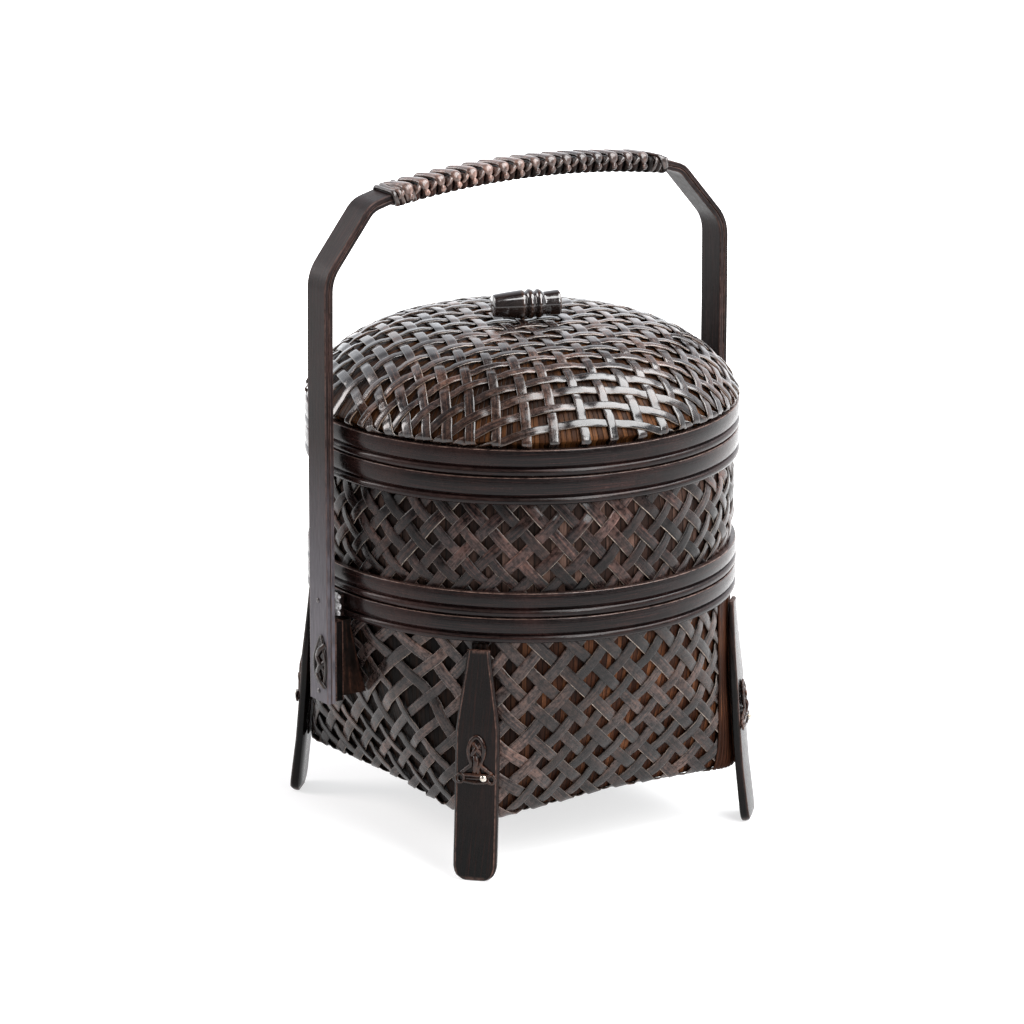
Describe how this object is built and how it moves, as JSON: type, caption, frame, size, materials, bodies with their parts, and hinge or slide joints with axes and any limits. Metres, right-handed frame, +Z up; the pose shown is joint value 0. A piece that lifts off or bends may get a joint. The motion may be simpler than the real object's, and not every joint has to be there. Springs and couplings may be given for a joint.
{
  "type": "tiered bamboo food basket",
  "caption": "Stacking food basket of woven bamboo: a square-bottomed base on slat feet with a bow handle, a round tray on it and a domed lid with a toggle knob.",
  "frame": {"origin": "on the floor under the middle of the basket, level with the ends of the feet", "axes": "+Z up; X runs along the bow handle from leg to leg; Y runs across the handle"},
  "size_m": [0.1614, 0.1428, 0.22],
  "materials": {
    "dark_lacquered_bamboo": "dark brown-black lacquer over split bamboo, satin gloss",
    "woven_bamboo": "woven split bamboo, dark lacquer worn to brown on its edges",
    "brown_lining": "thin orange-brown stained lining, matt",
    "rattan_binding": "reddish-brown lacquered rattan binding",
    "black_turned_wood": "near-black turned wood, high gloss",
    "brass_nail": "small round-headed nails, slightly dulled",
    "pale_packing": "pale glossy packing piece"
  },
  "bodies": {
    "base": {"base_weave": "woven_bamboo", "base_liner": "brown_lining", "base_rim_band": "dark_lacquered_bamboo", "base_lip_hoop": "dark_lacquered_bamboo", "corner_rib_front_right": "brown_lining", "foot_front_right": "dark_lacquered_bamboo", "foot_knot_front_right": "rattan_binding", "foot_nail_front_right": "brass_nail", "corner_rib_back_right": "brown_lining", "foot_back_right": "dark_lacquered_bamboo", "foot_knot_back_right": "rattan_binding", "foot_nail_back_right": "brass_nail", "corner_rib_back_left": "brown_lining", "foot_back_left": "dark_lacquered_bamboo", "foot_knot_back_left": "rattan_binding", "foot_nail_back_left": "brass_nail", "corner_rib_front_left": "brown_lining", "foot_front_left": "dark_lacquered_bamboo", "foot_knot_front_left": "rattan_binding", "foot_nail_front_left": "brass_nail", "handle_outer_strip": "dark_lacquered_bamboo", "handle_inner_strip": "dark_lacquered_bamboo", "handle_grip_wrap": "rattan_binding", "leg_spacer_right": "pale_packing", "leg_backing_right": "dark_lacquered_bamboo", "leg_wedge_right": "dark_lacquered_bamboo", "leg_knot_right": "rattan_binding", "leg_nail_low_right": "brass_nail", "leg_nail_high_right": "brass_nail", "leg_spacer_left": "pale_packing", "leg_backing_left": "dark_lacquered_bamboo", "leg_wedge_left": "dark_lacquered_bamboo", "leg_knot_left": "rattan_binding", "leg_nail_low_left": "brass_nail", "leg_nail_high_left": "brass_nail"},
    "tray": {"tray_weave": "woven_bamboo", "tray_liner": "brown_lining", "tray_foot_band": "dark_lacquered_bamboo", "tray_rim_band": "dark_lacquered_bamboo", "tray_floor": "woven_bamboo", "tray_floor_hoop": "dark_lacquered_bamboo", "tray_lip_hoop": "dark_lacquered_bamboo"},
    "lid": {"lid_weave": "woven_bamboo", "lid_liner": "brown_lining", "lid_band": "dark_lacquered_bamboo", "lid_inner_hoop": "dark_lacquered_bamboo"},
    "knob": {"knob": "black_turned_wood", "knob_tie": "rattan_binding", "knob_washer": "dark_lacquered_bamboo"}
  },
  "joints": [
    {"name": "tray_lift", "type": "slide", "parent": "base", "child": "tray", "axis": [0, 0, 1], "range_m": [0, 0.012]},
    {"name": "lid_lift", "type": "slide", "parent": "tray", "child": "lid", "axis": [0, 0, 1], "range_m": [0, 0.022]},
    {"name": "knob_turn", "type": "hinge", "parent": "lid", "child": "knob", "pos_m": [0, 0, 0.1716], "axis": [0, 0, 1], "range_deg": [-90, 90]}
  ]
}
